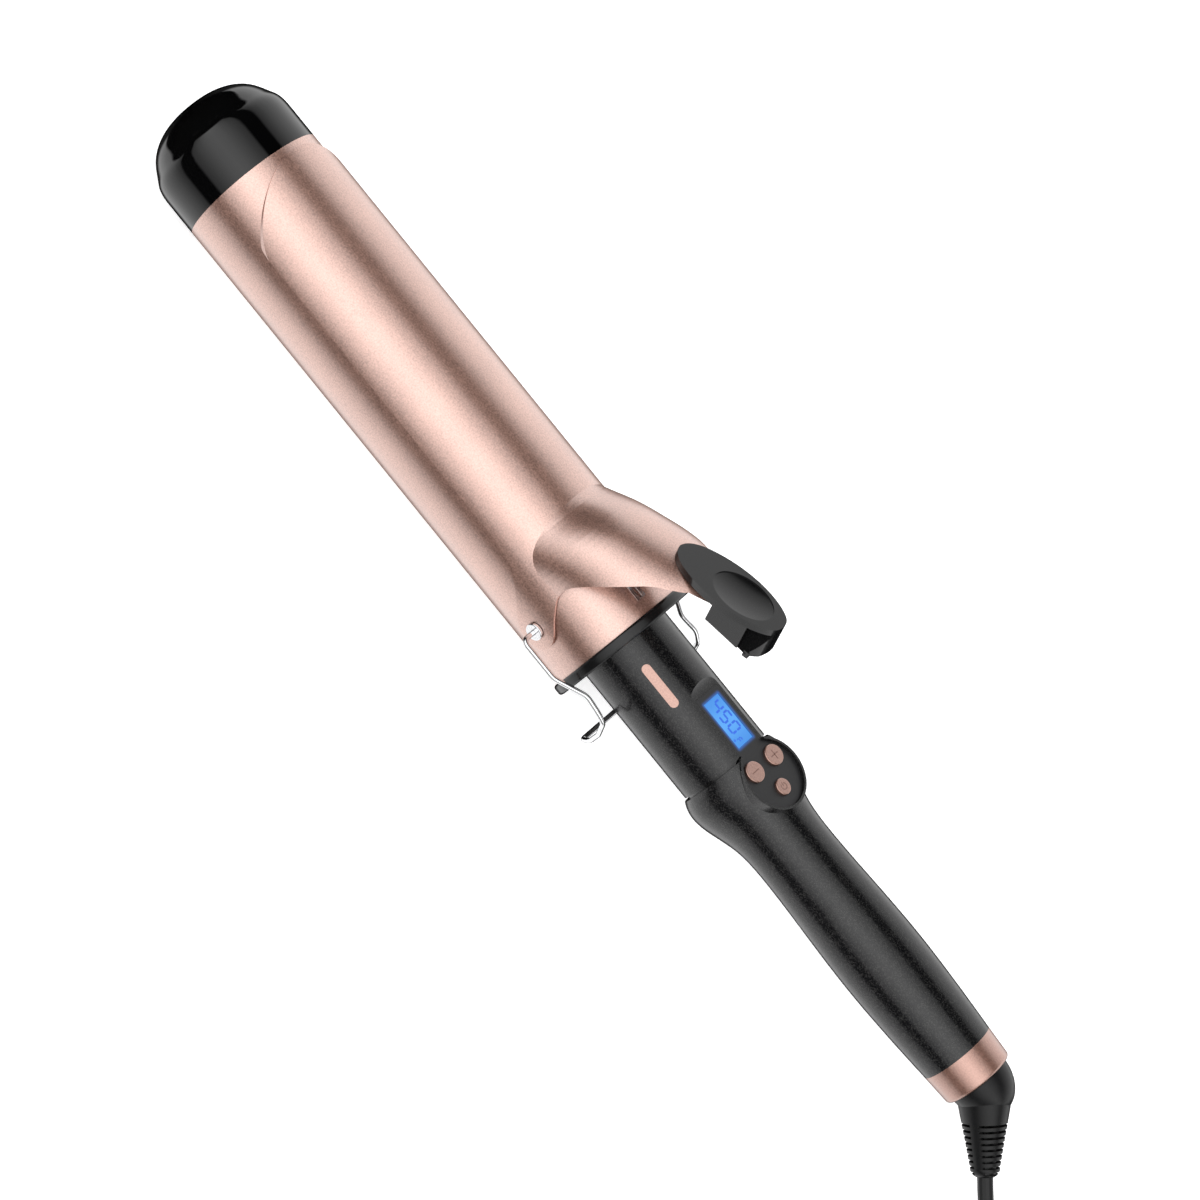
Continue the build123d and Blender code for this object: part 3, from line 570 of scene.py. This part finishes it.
def make_button_marks(materials):
    """Plus, minus and the power sign, as fine lines on the caps."""
    for body, strokes in MARK_STROKES.items():
        low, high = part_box(body + "_button")
        centre = Vector(((low[0] + high[0]) / 2 / MM - NOSE_X, (low[1] + high[1]) / 2 / MM))
        top = high[2] / MM - AXIS_Z + MARK_LIFT
        parts = [bar(centre + Vector(a), centre + Vector(b), MARK_LINE, top, MARK_DEEP) for a, b in strokes]
        if body == "power":
            parts.append(arc(centre, POWER_R, POWER_OPEN, POWER_CLOSE, MARK_LINE, top, MARK_DEEP))
        mark = add_mesh(body + "_mark", merge(parts), "rose_gold_trim", materials, "mark_brown")
        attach(mark, body)


# ---- clamp spring ----
def make_spring(materials):
    """The leaf spring as a piece of its own, copied from the CAD node and fixed to the iron."""
    low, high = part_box("clamp_spring")
    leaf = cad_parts["clamp_spring"].data.copy()
    spring = add_mesh("spring_leaf", leaf, "spring_steel", materials)
    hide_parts("clamp_spring")
    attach(spring, "iron")
    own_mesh(spring)


# ---- cord ----
# The route is written in millimetres of the part's own frame, the same points as in the CAD.
CORD_D = 5.3
COIL_X, COIL_Y = 304.525, -11.40
LANES = (39.95, 34.65, 29.35, 24.05)
FLOOR_ROW, TOP_ROW = 2.65, 7.95
ENTRY_ANGLE = 240.0
LEAVE_ANGLE = 270.0
POINTS_PER_TURN = 24
STEP_SHARE = 1 / 6      # last part of a turn, over which the cord moves to the next lane
CUT_POWER = 0.7         # the curve runs inside its points, so they sit a little outside the lane
LEAD = (
    (228.89, -13.46, 14.75), (240.65, -20.33, 8.46), (256.65, -28.3, 4.0), (271.55, -38.5, 2.65),
)
TAIL = (
    (305.5, -54.1, 6.4), (322.0, -56.6, 3.9), (337.5, -54.2, 2.65),
    (350.7, -45.8, 2.9), (358.4, -32.2, 5.6), (359.5, -16.5, 6.5),
)


def coil_points():
    """Four turns inwards on the floor, then four outwards on top of them."""
    rows = [(lane, FLOOR_ROW) for lane in LANES] + [(lane, TOP_ROW) for lane in reversed(LANES)]
    total = len(rows) * POINTS_PER_TURN + round(POINTS_PER_TURN * (LEAVE_ANGLE - ENTRY_ANGLE) / 360)
    points = []
    for index in range(total):
        turn, place = divmod(index / POINTS_PER_TURN, 1)
        here = rows[min(int(turn), len(rows) - 1)]
        after = rows[min(int(turn) + 1, len(rows) - 1)]
        share = max(0.0, (place - 1 + STEP_SHARE) / STEP_SHARE)
        share = share * share * (3 - 2 * share)
        radius = (here[0] + (after[0] - here[0]) * share) / math.cos(math.pi / POINTS_PER_TURN) ** CUT_POWER
        height = here[1] + (after[1] - here[1]) * share
        angle = math.radians(ENTRY_ANGLE) + 2 * math.pi * index / POINTS_PER_TURN
        points.append((COIL_X + radius * math.cos(angle), COIL_Y + radius * math.sin(angle), height))
    return points


def route_curve(points):
    """Smooth curve over the route's points, from the first to the last."""
    data = bpy.data.curves.new("route", "CURVE")
    data.dimensions = "3D"
    spline = data.splines.new("NURBS")
    spline.points.add(len(points) - 1)
    for point, place in zip(spline.points, points):
        point.co = (*(Vector(place) * MM), 1.0)
    spline.order_u = 3
    spline.use_endpoint_u = True
    spline.resolution_u = 6
    return bpy.data.objects.new("route", data)


def make_cord(materials):
    """Cord of full length: it follows the swivel where it leaves, and lies coiled beside the iron."""
    route = route_curve([*LEAD, *coil_points(), *TAIL])
    line = [tuple(vertex.co) for vertex in bpy.data.meshes.new_from_object(route).vertices]
    route.data.bevel_depth = CORD_D / 2 * MM
    route.data.bevel_resolution = 5
    cord = add_mesh("cord", bpy.data.meshes.new_from_object(route), "cord_black", materials)
    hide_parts("cord_lead", "cord_coil", "cord_tail")
    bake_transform(cord)


def main():
    """Camera, studio, finishes and the pieces that the CAD only stands in for."""
    make_camera()
    make_world()
    make_floor()
    materials = make_materials()
    dress_nodes(materials)
    make_cord(materials)
    make_spring(materials)
    make_readout(materials)
    make_button_marks(materials)


main()
